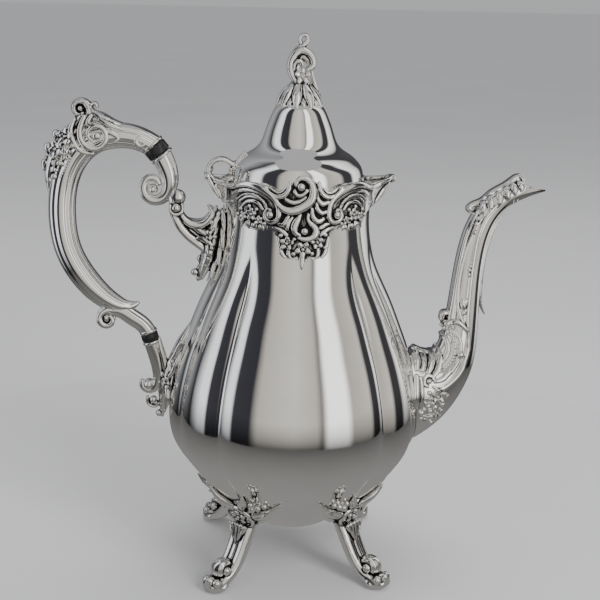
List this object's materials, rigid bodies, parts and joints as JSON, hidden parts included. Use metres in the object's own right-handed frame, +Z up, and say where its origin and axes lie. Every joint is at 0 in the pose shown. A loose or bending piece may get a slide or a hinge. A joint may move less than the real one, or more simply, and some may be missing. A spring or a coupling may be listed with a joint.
{
  "type": "coffee pot",
  "caption": "Lobed pear-shaped silver coffee pot with hinged domed lid, swan-neck spout, scroll handle with insulators and four scroll feet",
  "frame": {"origin": "on the table, under the pot's axis: the middle of the object's footprint", "axes": "+Z up along the pot's axis, +X towards the spout, -X towards the handle, the hinge pin along Y"},
  "size_m": [0.268, 0.1378, 0.29],
  "materials": {
    "polished_silver": "mirror-polished silver plate with faint hairline scratches",
    "chased_silver": "cast silver ornament, bright on the high points and darkened in the recesses",
    "inner_silver": "plain unpolished silver-plated fittings",
    "black_insulator": "black heat-insulating composition, satin"
  },
  "bodies": {
    "pot": {"body_shell": "polished_silver", "mouth_collar": "polished_silver", "rim_mount": "chased_silver", "spout": "polished_silver", "foot_front_left": "polished_silver", "foot_front_right": "polished_silver", "foot_rear_left": "polished_silver", "foot_rear_right": "polished_silver", "upper_handle_socket": "polished_silver", "lower_handle_socket": "polished_silver", "handle_grip": "polished_silver", "upper_insulator": "black_insulator", "lower_insulator": "black_insulator", "pin_upper_grip": "inner_silver", "pin_upper_socket": "inner_silver", "pin_lower_grip": "inner_silver", "pin_lower_socket": "inner_silver", "hinge_body_leaf": "polished_silver", "hinge_pin": "inner_silver"},
    "lid": {"lid_shell": "polished_silver", "lid_flange": "polished_silver", "finial": "chased_silver", "finial_stud": "inner_silver", "finial_nut": "inner_silver", "hinge_lid_leaf": "polished_silver"}
  },
  "joints": [
    {"name": "lid_hinge", "type": "hinge", "parent": "pot", "child": "lid", "pos_m": [-0.0416, 0, 0.2115], "axis": [0, -1, 0], "range_deg": [0, 80]}
  ]
}
